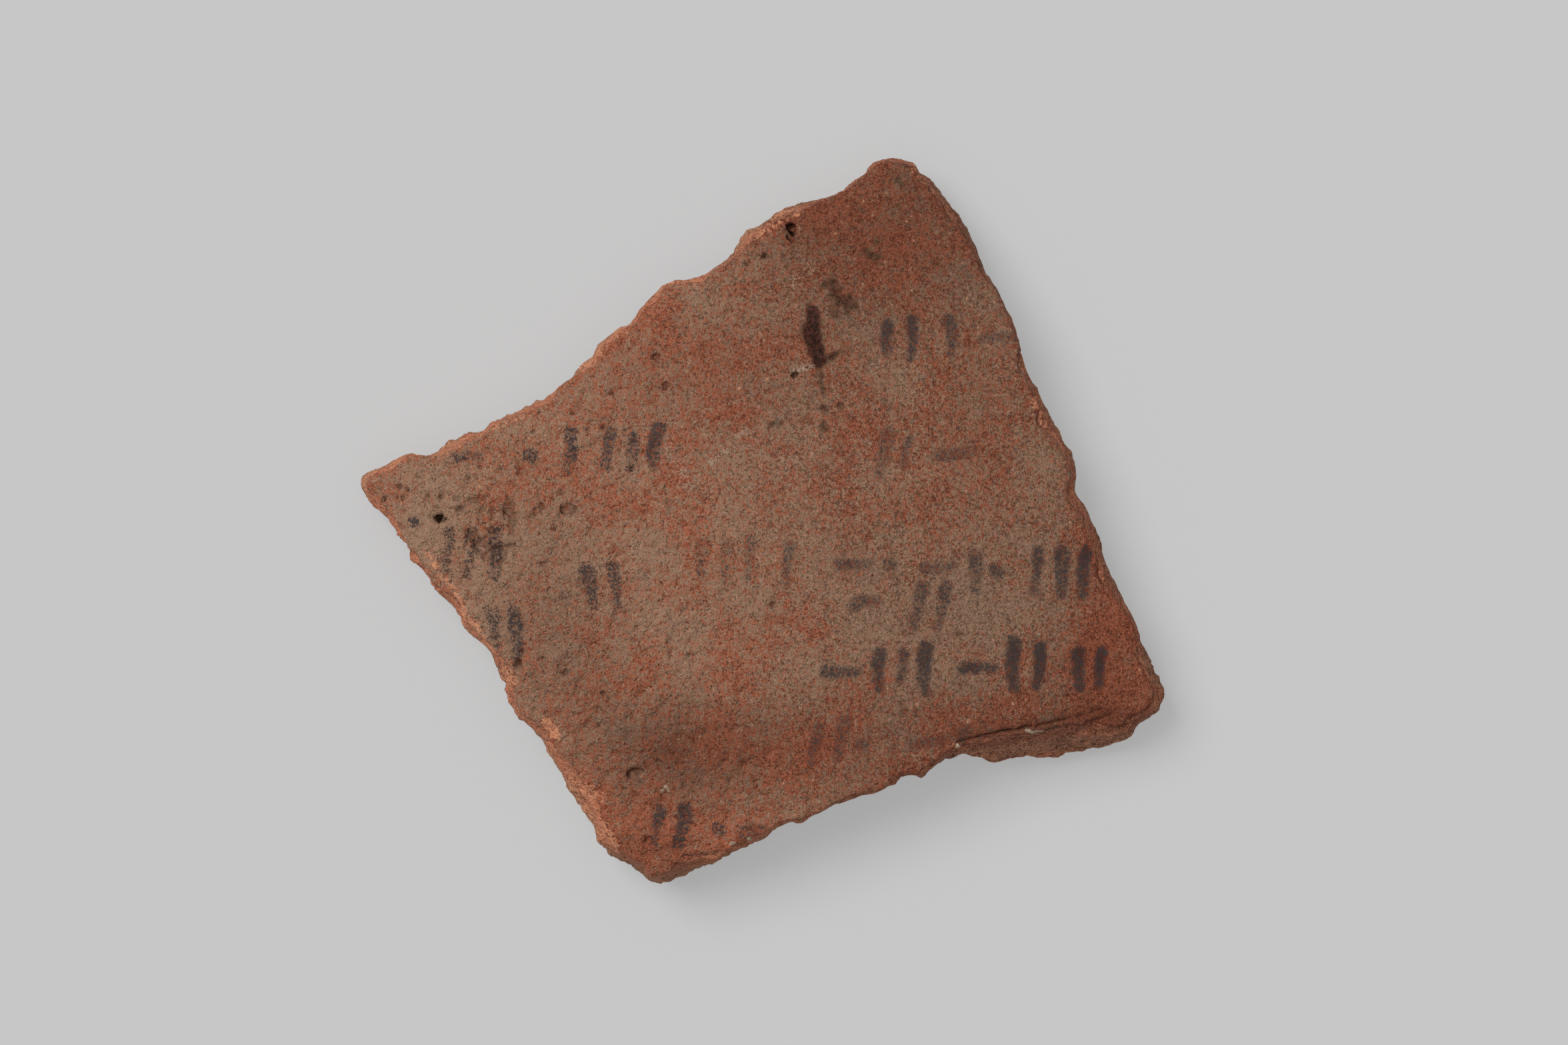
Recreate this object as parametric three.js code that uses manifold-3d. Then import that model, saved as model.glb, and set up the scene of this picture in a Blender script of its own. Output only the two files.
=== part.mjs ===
// An ostracon: one irregular piece broken out of the belly of a wheel-thrown jar, lying with its written,
// outer face up. The jar's wall is revolved from its thrown profile, the four breaks are lofted through
// it, and the spalls, the pits and the worn spots that the sherd stands on are cut last.
import * as THREE from 'three';
import { mergeVertices } from 'three/addons/utils/BufferGeometryUtils.js';
import Module from 'manifold-3d';

const wasm = await Module();
wasm.setup();

// Driving dimensions, in millimetres. Width lies along X, height along Y and the wheel's axis runs along Y.
const sherdWidth = 82;
const sherdHeight = 73.9;
const wallThickness = 8.3;
const wallThinning = 0.7;
const bellyRadius = 150;
const profileRadius = 160;
const groovePitch = 6.4;
const grooveDepth = 0.45;
const grooveDrift = 0.9;
const breakRoughness = 0.26;
const arrisWear = 0.16;
const restWear = 0.45;
const longestPit = 1.7;
const longestSpall = 5;

// How finely the faces are stepped, and how far a cutting solid runs past what it cuts.
const faceStep = 3.2;
const grooveStep = 1.25;
const breakStep = 1.1;
const overrun = 3;

// The outline seen from above, clockwise from the left corner. A row is a point's place from the middle
// of the sherd, in shares of the width and the height, and how far the break there leans out below the
// written face, in shares of the wall.
const upperLeftShares = [
  [-0.500, 0.060, 0.12], [-0.493, 0.070, 0.10], [-0.483, 0.075, 0.08], [-0.464, 0.084, 0.09],
  [-0.451, 0.094, 0.09], [-0.435, 0.097, 0.06], [-0.418, 0.094, 0.05], [-0.406, 0.099, 0.07],
  [-0.392, 0.108, 0.09], [-0.369, 0.119, 0.09], [-0.350, 0.124, 0.08], [-0.333, 0.140, 0.07],
  [-0.306, 0.151, 0.04], [-0.286, 0.159, 0.03], [-0.265, 0.169, 0.03], [-0.253, 0.184, 0.04],
  [-0.243, 0.196, 0.05], [-0.228, 0.213, 0.09], [-0.214, 0.225, 0.12], [-0.203, 0.245, 0.12],
  [-0.193, 0.255, 0.09], [-0.178, 0.268, 0.09], [-0.165, 0.277, 0.12], [-0.156, 0.293, 0.10],
  [-0.141, 0.306, 0.06], [-0.119, 0.327, 0.06], [-0.100, 0.335, 0.10], [-0.084, 0.338, 0.10],
  [-0.066, 0.348, 0.07], [-0.029, 0.380, 0.09], [-0.024, 0.393, 0.11], [-0.011, 0.404, 0.12],
  [0.004, 0.418, 0.13], [0.025, 0.430, 0.13], [0.060, 0.444, 0.08], [0.083, 0.448, 0.05],
  [0.101, 0.461, 0.06], [0.114, 0.476, 0.05], [0.127, 0.482, 0.05], [0.139, 0.498, 0.04],
];
const upperRightShares = [
  [0.156, 0.500, 0.03], [0.172, 0.498, 0.04], [0.185, 0.498, 0.05], [0.191, 0.492, 0.08],
  [0.202, 0.481, 0.13], [0.212, 0.475, 0.13], [0.217, 0.461, 0.12], [0.228, 0.448, 0.10],
  [0.247, 0.419, 0.10], [0.271, 0.364, 0.09], [0.276, 0.348, 0.09], [0.289, 0.327, 0.06],
  [0.315, 0.260, 0.04], [0.321, 0.221, 0.04], [0.354, 0.150, 0.11], [0.358, 0.137, 0.11],
  [0.376, 0.105, 0.12], [0.391, 0.069, 0.15], [0.387, 0.046, 0.14], [0.406, 0.010, 0.15],
  [0.419, -0.034, 0.14], [0.435, -0.080, 0.12], [0.454, -0.119, 0.07], [0.464, -0.140, 0.07],
  [0.470, -0.168, 0.10], [0.480, -0.192, 0.13], [0.488, -0.215, 0.14], [0.498, -0.225, 0.15],
];
const lowerRightShares = [
  [0.500, -0.237, 0.15], [0.493, -0.259, 0.15], [0.480, -0.270, 0.17], [0.468, -0.281, 0.20],
  [0.460, -0.297, 0.25], [0.448, -0.303, 0.28], [0.427, -0.310, 0.32], [0.403, -0.316, 0.36],
  [0.375, -0.320, 0.40], [0.363, -0.326, 0.41], [0.341, -0.327, 0.40], [0.286, -0.328, 0.33],
  [0.272, -0.323, 0.26], [0.229, -0.319, 0.10], [0.202, -0.339, 0.04], [0.195, -0.347, 0.03],
  [0.177, -0.344, 0.03], [0.165, -0.349, 0.03], [0.159, -0.358, 0.03], [0.137, -0.368, 0.03],
  [0.116, -0.372, 0.03], [0.094, -0.383, 0.03], [0.061, -0.400, 0.03], [0.046, -0.410, 0.03],
  [0.032, -0.407, 0.03], [0.003, -0.428, 0.04], [-0.011, -0.434, 0.04], [-0.020, -0.444, 0.06],
  [-0.044, -0.457, 0.12], [-0.062, -0.469, 0.16], [-0.078, -0.474, 0.18], [-0.112, -0.491, 0.19],
];
const lowerLeftShares = [
  [-0.136, -0.500, 0.19], [-0.145, -0.493, 0.19], [-0.162, -0.475, 0.18], [-0.183, -0.461, 0.17],
  [-0.204, -0.440, 0.19], [-0.211, -0.419, 0.20], [-0.223, -0.402, 0.24], [-0.247, -0.353, 0.24],
  [-0.266, -0.316, 0.12], [-0.271, -0.303, 0.13], [-0.286, -0.281, 0.10], [-0.304, -0.266, 0.09],
  [-0.311, -0.244, 0.10], [-0.327, -0.198, 0.12], [-0.336, -0.180, 0.10], [-0.359, -0.155, 0.09],
  [-0.369, -0.143, 0.08], [-0.377, -0.122, 0.06], [-0.410, -0.084, 0.05], [-0.437, -0.040, 0.05],
  [-0.463, 0.001, 0.07], [-0.483, 0.023, 0.07], [-0.493, 0.037, 0.08], [-0.499, 0.048, 0.10],
];
const outlineShares = [...upperLeftShares, ...upperRightShares, ...lowerRightShares, ...lowerLeftShares];

// Pits left where chaff burnt out of the clay, and spalls knocked off the written face and its edges.
// A row is a place, as above, a length and a width in shares of the longest of its kind, a depth in
// shares of its own width, and how far it is turned from X in shares of a full turn.
const pitShares = [
  [0.035, 0.401, 0.96, 0.34, 0.9, 0.25], [-0.402, 0.004, 0.66, 0.40, 0.6, 0.02],
  [-0.224, -0.175, 0.70, 0.24, 0.8, 0.20], [-0.366, -0.030, 0.94, 0.44, 0.6, 0.27],
  [-0.243, 0.021, 0.62, 0.56, 0.3, 0], [-0.305, 0.094, 0.44, 0.36, 0.4, 0.1],
  [-0.134, 0.228, 0.48, 0.36, 0.4, 0.15], [0.039, 0.202, 0.50, 0.34, 0.5, 0.3],
  [-0.128, -0.331, 0.54, 0.40, 0.4, 0.05], [-0.161, -0.347, 1, 0.5, 0.4, 0.12],
];
const spallShares = [
  [-0.342, 0.001, 1, 0.86, 0.09, 0.28], [-0.229, -0.367, 0.80, 0.56, 0.6, 0.30],
  [-0.458, 0.087, 0.36, 0.24, 0.4, 0.06], [-0.168, 0.276, 0.26, 0.22, 0.5, 0.12],
  [0.348, 0.152, 0.50, 0.30, 0.4, 0.68], [-0.266, -0.285, 0.38, 0.26, 0.4, 0.32],
  [0.471, -0.186, 0.46, 0.32, 0.4, 0.70], [-0.318, -0.211, 0.36, 0.24, 0.4, 0.32],
];

function solidOf(geometry) {
  const bare = geometry.clone();
  bare.deleteAttribute('normal');
  bare.deleteAttribute('uv');
  const merged = mergeVertices(bare);
  return new wasm.Manifold(new wasm.Mesh({
    numProp: 3,
    vertProperties: new Float32Array(merged.attributes.position.array),
    triVerts: new Uint32Array(merged.index.array),
  }));
}

function geometryOf(solid) {
  const mesh = solid.getMesh();
  const geometry = new THREE.BufferGeometry();
  geometry.setAttribute('position', new THREE.BufferAttribute(mesh.vertProperties, mesh.numProp));
  geometry.setIndex(new THREE.BufferAttribute(mesh.triVerts, 1));
  return geometry;
}

// How far a circle of this radius falls away at a distance from its crown.
function circleDrop(distance, radius) {
  return radius - Math.sqrt(radius ** 2 - distance ** 2);
}

// The wall thins evenly towards the shoulder, which lies at +Y.
function wallAt(y) {
  return wallThickness - wallThinning * (y / sherdHeight);
}

// The potter's fingers left grooves inside, which meet in low ridges and drift a little in their pitch.
function grooveAt(y) {
  const drifted = y + grooveDrift * Math.sin(y / groovePitch);
  return grooveDepth * Math.abs(Math.sin((Math.PI * drifted) / groovePitch));
}

// The crown is the highest point of the wall. It lies where the inner face comes to one height at the
// three corners that the sherd stands on. With X and Y stretched to one curvature, a point's fall is
// half its squared distance from the crown, which leaves two straight lines to cross.
const standingShares = [[-0.489, 0.051], [0.185, 0.490], [0.478, -0.250]];
function findCrown() {
  const stretch = new THREE.Vector2(Math.sqrt(bellyRadius), Math.sqrt(profileRadius));
  const [left, top, right] = standingShares.map(([xShare, yShare]) => {
    const place = new THREE.Vector2(xShare * sherdWidth, yShare * sherdHeight);
    const thickness = wallAt(place.y) - grooveAt(place.y);
    place.divide(stretch);
    return { place, fall: place.lengthSq() / 2 + thickness };
  });
  const toTop = top.place.clone().sub(left.place);
  const toRight = right.place.clone().sub(left.place);
  const topFall = top.fall - left.fall;
  const rightFall = right.fall - left.fall;
  return new THREE.Vector2(
    topFall * toRight.y - rightFall * toTop.y,
    rightFall * toTop.x - topFall * toRight.x,
  ).divideScalar(toTop.cross(toRight)).multiply(stretch);
}

const crown = findCrown();

// The jar's outer radius round the wheel's axis, at a height along Y.
function outerRadius(y) {
  return bellyRadius - circleDrop(y - crown.y, profileRadius);
}

// Height of the outer face over a point, from the crown down.
function outerHeight(x, y) {
  return Math.sqrt(outerRadius(y) ** 2 - (x - crown.x) ** 2) - bellyRadius;
}

// The whole belly of the jar, turned as one closed ring from the section of its wall.
function makeJarWall() {
  const halfHeight = sherdHeight / 2 + overrun;
  const section = [];
  const outerSteps = Math.ceil((2 * halfHeight) / faceStep);
  for (let step = 0; step <= outerSteps; step += 1) {
    const y = THREE.MathUtils.lerp(-halfHeight, halfHeight, step / outerSteps);
    section.push(new THREE.Vector2(outerRadius(y), y));
  }
  const innerSteps = Math.ceil((2 * halfHeight) / grooveStep);
  for (let step = 0; step <= innerSteps; step += 1) {
    const y = THREE.MathUtils.lerp(halfHeight, -halfHeight, step / innerSteps);
    section.push(new THREE.Vector2(outerRadius(y) - wallAt(y) + grooveAt(y), y));
  }
  section.push(section[0].clone());
  const turns = Math.ceil((2 * Math.PI * bellyRadius) / faceStep);
  const ring = new THREE.LatheGeometry(section, turns);
  ring.translate(crown.x, 0, -bellyRadius);
  return solidOf(ring);
}

// Even steps round the outline. A step's z holds how far the break leans out there.
function stepOutline() {
  const corners = outlineShares.map(
    ([x, y, lean]) => new THREE.Vector3(x * sherdWidth, y * sherdHeight, lean * wallThickness),
  );
  const curve = new THREE.CatmullRomCurve3(corners, true, 'centripetal');
  const count = Math.round(curve.getLength() / breakStep);
  curve.arcLengthDivisions = 8 * count;
  curve.updateArcLengths();
  return curve.getSpacedPoints(count).slice(0, count);
}

// The way into the clay at a step, square to the run of the break round it.
function inwardAt(steps, index) {
  const span = Math.round(wallThickness / breakStep / 2);
  const before = steps.at((index - span) % steps.length);
  const after = steps[(index + span) % steps.length];
  return new THREE.Vector2(after.y - before.y, before.x - after.x).normalize();
}

// Coarse clay breaks unevenly. Three crossing waves stand for that, in -1 to 1. A row is a wave's length
// in shares of the longest, its heading in shares of a full turn, and its share of the unevenness.
const longestWave = 8.5;
const waveShares = [[1, 0.08, 0.5], [0.5, 0.35, 0.3], [0.3, 0.62, 0.2]];
function unevenness(x, y, depth) {
  return waveShares.reduce((sum, [lengthShare, headingShare, share]) => {
    const heading = headingShare * 2 * Math.PI;
    const along = x * Math.cos(heading) + y * Math.sin(heading) + depth;
    return sum + share * Math.sin((2 * Math.PI * along) / (lengthShare * longestWave));
  }, 0);
}

// How far a break stands back from the outline, at a share of the depth through the wall. It leans out
// to its widest level, which lies deeper the more it leans, then tucks back under by an uneven amount.
// Both its edges are worn.
const shallowestShare = 0.3;
const deepestShare = 0.85;
const broadestLeanShare = 0.41;
const tuckShare = 0.15;
const evenTuckShare = 0.6;
const wornDepthShare = 0.04;
function breakInset(step, depthShare) {
  const sinkShare = Math.min(1, step.z / wallThickness / broadestLeanShare);
  const widestShare = THREE.MathUtils.lerp(shallowestShare, deepestShare, sinkShare);
  const lean = step.z * Math.max(0, 1 - depthShare / widestShare);
  const underShare = Math.max(0, (depthShare - widestShare) / (1 - widestShare));
  const swing = evenTuckShare + (1 - evenTuckShare) * unevenness(step.y, step.x, 0);
  const tuck = tuckShare * wallThickness * underShare * swing;
  const edgeShare = Math.min(depthShare, 1 - depthShare);
  const wear = arrisWear * Math.max(0, 1 - edgeShare / wornDepthShare);
  const rough = breakRoughness * unevenness(step.x, step.y, depthShare * wallThickness);
  return lean + tuck + wear + rough * Math.min(1, depthShare / wornDepthShare);
}

// A column of clay with the four breaks as its sides: rings that follow the wall down, and a straight
// run past it above and below.
const depthShares = [0, 0.04, 0.15, 0.3, 0.45, 0.6, 0.75, 0.87, 0.96, 1];
function makeBreakColumn() {
  const steps = stepOutline();
  const ringAt = (depthShare, level) => steps.map((step, index) => {
    const inward = inwardAt(steps, index).multiplyScalar(breakInset(step, depthShare));
    const x = step.x + inward.x;
    const y = step.y + inward.y;
    return new THREE.Vector3(x, y, level ?? outerHeight(x, y) - depthShare * wallAt(y));
  });
  const highest = overrun;
  const lowest = Math.min(...ringAt(1).map((point) => point.z)) - overrun;
  const rings = [
    ringAt(0, highest),
    ...depthShares.map((depthShare) => ringAt(depthShare)),
    ringAt(1, lowest),
  ];
  const count = steps.length;
  const faces = [];
  for (let ring = 0; ring + 1 < rings.length; ring += 1) {
    for (let index = 0; index < count; index += 1) {
      const next = (index + 1) % count;
      const [here, beside] = [ring * count + index, ring * count + next];
      faces.push(here, beside, here + count, beside, beside + count, here + count);
    }
  }
  const lastRing = (rings.length - 1) * count;
  THREE.ShapeUtils.triangulateShape(rings[0], []).forEach(([a, b, c]) => faces.push(a, b, c));
  THREE.ShapeUtils.triangulateShape(rings.at(-1), []).forEach(([a, b, c]) => {
    faces.push(lastRing + c, lastRing + b, lastRing + a);
  });
  const column = new THREE.BufferGeometry().setFromPoints(rings.flat());
  column.setIndex(faces);
  return solidOf(column);
}

// A hollow scooped out of the written face: half a stretched ball, sunk to its middle.
function makeScoop([x, y, length, width, depth, turn], longest) {
  const ball = new THREE.SphereGeometry(1, 10, 6);
  ball.scale((length * longest) / 2, (width * longest) / 2, depth * width * longest);
  ball.rotateZ(turn * 2 * Math.PI);
  ball.translate(x * sherdWidth, y * sherdHeight, outerHeight(x * sherdWidth, y * sherdHeight));
  return solidOf(ball);
}

// The lowest spots are worn flat, all in one plane, where the sherd has stood on its corners.
function wearCornersFlat(solid) {
  const box = new THREE.Box3().setFromBufferAttribute(geometryOf(solid).attributes.position);
  const size = box.getSize(new THREE.Vector3());
  const ground = new THREE.BoxGeometry(size.x + overrun, size.y + overrun, overrun);
  const middle = box.getCenter(new THREE.Vector3());
  ground.translate(middle.x, middle.y, box.min.z + restWear - overrun / 2);
  return solid.subtract(solidOf(ground));
}

// The origin is the middle of the sherd's box, at the level that it stands on.
function standOnOrigin(geometry) {
  geometry.computeBoundingBox();
  const middle = geometry.boundingBox.getCenter(new THREE.Vector3());
  return geometry.translate(-middle.x, -middle.y, -geometry.boundingBox.min.z);
}

function makeSherd() {
  let clay = makeJarWall().intersect(makeBreakColumn());
  spallShares.forEach((spall) => {
    clay = clay.subtract(makeScoop(spall, longestSpall));
  });
  pitShares.forEach((pit) => {
    clay = clay.subtract(makeScoop(pit, longestPit));
  });
  return standOnOrigin(geometryOf(wearCornersFlat(clay)));
}

const firedClay = new THREE.MeshStandardMaterial({
  color: 0x8a6450,
  roughness: 0.92,
  metalness: 0,
  flatShading: true,
});

const ostracon = new THREE.Group();
const sherd = new THREE.Mesh(makeSherd(), firedClay);
sherd.name = 'sherd';
ostracon.add(sherd);

export default ostracon;
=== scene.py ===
import math
import random

import bmesh
import bpy
import numpy as np
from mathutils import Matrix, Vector, noise
from mathutils.bvhtree import BVHTree


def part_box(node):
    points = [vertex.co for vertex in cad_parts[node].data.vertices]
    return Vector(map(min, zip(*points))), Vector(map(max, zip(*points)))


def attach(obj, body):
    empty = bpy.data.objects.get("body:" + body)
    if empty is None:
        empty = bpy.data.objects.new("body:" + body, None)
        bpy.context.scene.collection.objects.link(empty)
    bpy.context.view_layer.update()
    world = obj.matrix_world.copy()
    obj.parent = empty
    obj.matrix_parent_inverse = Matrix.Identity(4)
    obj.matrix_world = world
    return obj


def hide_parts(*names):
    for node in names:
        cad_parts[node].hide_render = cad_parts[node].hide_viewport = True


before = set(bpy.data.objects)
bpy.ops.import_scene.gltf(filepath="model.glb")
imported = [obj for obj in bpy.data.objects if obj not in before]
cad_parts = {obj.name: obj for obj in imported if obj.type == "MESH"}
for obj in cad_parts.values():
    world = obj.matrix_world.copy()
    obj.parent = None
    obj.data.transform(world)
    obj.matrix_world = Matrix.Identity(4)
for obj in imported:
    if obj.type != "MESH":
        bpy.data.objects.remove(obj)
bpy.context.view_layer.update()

# The camera hangs straight over the sherd on a copy stand, with a long lens. Its frame is 2352 by 1568
# pixels, of which the sherd's box takes the stretch named here, so that stretch gives a pixel's size.
frame_width_px, frame_height_px = 2352, 1568
sherd_left_px, sherd_right_px = 541.5, 1748
sherd_top_px, sherd_bottom_px = 239, 1326.5
lens_mm, sensor_mm = 120, 36
rim_height_share = 0.4
sherd_low, sherd_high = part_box("sherd")
pixel = (sherd_high[0] - sherd_low[0]) / (sherd_right_px - sherd_left_px)
rim_level = rim_height_share * (sherd_high[2] - sherd_low[2])
stand_off = lens_mm / sensor_mm * frame_width_px * pixel

camera = bpy.data.objects.new("copy_stand_camera", bpy.data.cameras.new("copy_stand_camera"))
bpy.context.scene.collection.objects.link(camera)
bpy.context.scene.camera = camera
camera.data.sensor_fit = "HORIZONTAL"
camera.data.sensor_width = sensor_mm
camera.data.lens = lens_mm
camera.location = (
    (sherd_low[0] + sherd_high[0]) / 2 + (frame_width_px - sherd_left_px - sherd_right_px) / 2 * pixel,
    (sherd_low[1] + sherd_high[1]) / 2 - (frame_height_px - sherd_top_px - sherd_bottom_px) / 2 * pixel,
    rim_level + stand_off,
)


def line_of_sight(x_px, y_px):
    """The way from the camera through a pixel of the frame."""
    across = (x_px - frame_width_px / 2) * pixel
    down = (y_px - frame_height_px / 2) * pixel
    return Vector((across, -down, -stand_off)).normalized()


# The sherd: one piece broken from the belly of a wheel-thrown jar of red-brown silt clay. Its form
# comes from the frame. It is meshed finely here, and its faces and breaks get the relief of fired,
# worn clay: lumps, wheel lines, burnt-out chaff, crumbled edges and layered fracture.
MM = 0.001
mesh_step = 0.2 * MM
evening_rounds = 3
same_place = 0.001 * MM
most_triangles = 196000
hollow_triangles = 24000
cad_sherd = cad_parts["sherd"]


def finished_mesh(piece, name):
    """The mesh that a piece's modifiers give, as a mesh of its own. The piece itself goes."""
    finished = piece.evaluated_get(bpy.context.evaluated_depsgraph_get())
    mesh = bpy.data.meshes.new_from_object(finished)
    bpy.data.objects.remove(piece)
    mesh.name = name
    return mesh


def add_piece(mesh, name):
    piece = bpy.data.objects.new(name, mesh)
    bpy.context.scene.collection.objects.link(piece)
    return piece


shape = bmesh.new()
shape.from_mesh(cad_sherd.data)
bmesh.ops.remove_doubles(shape, verts=shape.verts, dist=same_place)
coarse_mesh = bpy.data.meshes.new("sherd_coarse")
shape.to_mesh(coarse_mesh)
shape.free()
coarse_sherd = add_piece(coarse_mesh, "sherd_coarse")
remesh = coarse_sherd.modifiers.new("fine_mesh", "REMESH")
remesh.mode = "VOXEL"
remesh.voxel_size = mesh_step
evening = coarse_sherd.modifiers.new("even_out_steps", "SMOOTH")
evening.iterations = evening_rounds
fine_mesh = finished_mesh(coarse_sherd, "sherd_fine")

vertex_count = len(fine_mesh.vertices)
places = np.empty(3 * vertex_count)
normals = np.empty(3 * vertex_count)
fine_mesh.vertices.foreach_get("co", places)
fine_mesh.vertices.foreach_get("normal", normals)
places = places.reshape(-1, 3) / MM
normals = normals.reshape(-1, 3)
to_right, to_top, height = places.T

# Upward is 1 where the skin faces straight up, and -1 where it faces the table.
upward = normals[:, 2]
nearly_up, nearly_down = 0.94, -0.9


def smooth(low, high, value):
    """0 below low and 1 above high, with a soft rise between, which falls if low is the greater."""
    share = np.clip((value - low) / (high - low), 0, 1)
    return share * share * (3 - 2 * share)


# The outer face is one smooth crown. Its height over any point is fitted to the frame's upper facets,
# and a point's depth in the wall is how far it lies below that.
cad_polygons = cad_sherd.data.polygons
facet_places = np.array([polygon.center for polygon in cad_polygons]) / MM
facet_normals = np.array([polygon.normal for polygon in cad_polygons])


def crown_terms(points):
    x, y = points[:, 0], points[:, 1]
    return np.stack([np.ones_like(x), x, y, x * x, x * y, y * y, x ** 4, y ** 4], axis=1)


upper_facets = facet_places[facet_normals[:, 2] > nearly_up]
crown_fit = np.linalg.lstsq(crown_terms(upper_facets), upper_facets[:, 2], rcond=None)[0]
depth = crown_terms(places) @ crown_fit - height
wall = float(np.percentile(depth[upward < nearly_down], 50))

# How far each point belongs to the outer face, to the hollow face and to the breaks between them.
on_face = smooth(0.5, 0.8, upward) * smooth(0.3 * wall, 0.1 * wall, depth)
on_hollow = smooth(-0.78, -0.93, upward)
on_break = np.clip(1 - on_face - on_hollow, 0, 1)

# The breaks are the frame's steep facets low in the wall and those close above them, up to the arris.
# Steep facets farther in belong to pits.
steep_below = 0.8
low_in_wall_share, close_above_share = 0.25, 0.35
cad_points = [vertex.co for vertex in cad_sherd.data.vertices]
cad_facets = np.array([tuple(polygon.vertices) for polygon in cad_polygons])
facet_depth = crown_terms(facet_places) @ crown_fit - facet_places[:, 2]
steep = np.abs(facet_normals[:, 2]) < steep_below


def distance_to(facets, points):
    """How far each point lies from the nearest of some facets, in millimetres."""
    tree = BVHTree.FromPolygons(cad_points, facets.tolist())
    return np.array([tree.find_nearest(point)[3] for point in (points * MM).tolist()]) / MM


low_facets = cad_facets[steep & (facet_depth > low_in_wall_share * wall)]
break_facets = cad_facets[steep & (distance_to(low_facets, facet_places) < close_above_share * wall)]
from_break = distance_to(break_facets, places)


seed_step = np.array([7.3, 3.1, 5.7])


def shifted(points, lengths, seed):
    """Places for a noise whose swells are this long, or these lengths along X, Y and Z."""
    return (points / np.asarray(lengths, float) + seed_step * seed).tolist()


def ripple(points, lengths, seed):
    """Smooth noise, mostly within 0.5 of nothing."""
    return np.array([noise.noise(point) for point in shifted(points, lengths, seed)])


def creases(points, lengths, seed):
    """Noise of rounded lumps with sharp creases between them, deepest at about -0.35."""
    octaves = 3
    folds = np.array([noise.turbulence(point, octaves, True) for point in shifted(points, lengths, seed)])
    return folds - np.mean(folds)


def broken_lumps(points, lengths, seed):
    """Noise of lumps that carry smaller and smaller lumps."""
    fading, shrinking, octaves = 0.5, 2.3, 4
    spots = shifted(points, lengths, seed)
    return np.array([noise.fractal(point, fading, shrinking, octaves) for point in spots])


# Relief, in millimetres outward. The face is roughest at its left, where it has weathered most.
least_weathered = 0.3
leftward = smooth(12, -24, to_right + 0.25 * to_top)
weathered = least_weathered + (1 - least_weathered) * leftward
swell = ripple(places, 6, seed=1)
lumps = ripple(places, 1.8, seed=2)
middling_lumps = ripple(places, 1, seed=18)
small_lumps = ripple(places, 0.55, seed=3)
crust = creases(places, 1.3, seed=4)
wheel_lines = ripple(places, (18, 0.8, 6), seed=5)
lumpy = 0.26 * lumps + 0.26 * middling_lumps + 0.12 * small_lumps + 0.06 * crust
face_relief = 0.06 * swell + 0.03 * wheel_lines + weathered * lumpy

# Scales of the outer skin have come off there, which leaves shallow beds with sharp rims, and crumbs
# of it have left smaller pocks.
scale_depth, pock_depth = 0.15, 0.17
scales = ripple(places, 1.5, seed=15) + 0.4 * small_lumps
face_relief -= scale_depth * smooth(0.2, 0.28, scales) * smooth(0.6, 0.95, weathered)
pocks = ripple(places, 0.8, seed=20) + 0.3 * small_lumps
face_relief -= pock_depth * smooth(0.15, 0.27, pocks) * smooth(0.4, 0.9, weathered)

# A break steps along the wall in slabs and plates. The lower right one is split into thin layers, and
# those at the left crumble more.
layered = np.column_stack([to_right, to_top, depth])
slabs = ripple(layered, (7, 7, 2.5), seed=17)
plates = ripple(layered, (3, 3, 1.2), seed=6)
thin_plates = ripple(layered, (1.4, 1.4, 0.45), seed=7)
fracture = creases(layered, (2.2, 2.2, 1.1), seed=8)
rubble = broken_lumps(places, 1.6, seed=19)
split_in_layers = smooth(14, 24, to_right) * smooth(-8, -16, to_top)
crumbly = 0.08 + 0.1 * smooth(8, -8, to_right)
chips = crumbly * rubble * (1 + 1.4 * slabs + 1.4 * plates)
break_relief = 0.22 * slabs + 0.2 * plates + (0.09 + 0.15 * split_in_layers) * thin_plates + chips
break_relief -= (0.2 + 0.16 * split_in_layers) * fracture

# Fingers left fine lines on the hollow face, between and over the broad grooves that the frame has.
finger_lines = ripple(places, (22, 1.3, 6), seed=10)
hollow_relief = 0.12 * swell + 0.12 * lumps + 0.06 * small_lumps + 0.1 * finger_lines + 0.06 * crust

# Crumbled edges: bites out of the line where the outer face meets a break.
edge_width, bite_depth = 0.4, 0.7
bites = ripple(places, 2.2, seed=11) + 0.25 * rubble
edge_line = np.exp(-((from_break / edge_width) ** 2)) * smooth(1.2, 0.2, depth)
crumble = bite_depth * np.clip(bites - 0.05, 0, 1) * edge_line

relief = on_face * face_relief + on_break * break_relief + on_hollow * hollow_relief - crumble

# Marks are placed by the camera's frame, in pixels, and reach the sherd along the line of sight.
sherd_tree = BVHTree.FromPolygons(
    [vertex.co for vertex in fine_mesh.vertices],
    [tuple(polygon.vertices) for polygon in fine_mesh.polygons],
)


def under_pixel(x_px, y_px):
    """The point of the sherd, in millimetres, that the camera sees at a pixel, or nearest to it."""
    way = line_of_sight(x_px, y_px)
    hit = sherd_tree.ray_cast(camera.location, way)[0]
    if hit is None:
        at_rim = camera.location + way * (stand_off / -way.z)
        hit = sherd_tree.find_nearest(at_rim)[0]
    return np.array(hit) / MM


# The edge of a stroke wavers by this much, in millimetres.
wobble = 0.16 * ripple(places, 0.9, seed=12) + 0.1 * ripple(places, 0.4, seed=13)
px_in_mm = pixel / MM


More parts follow.
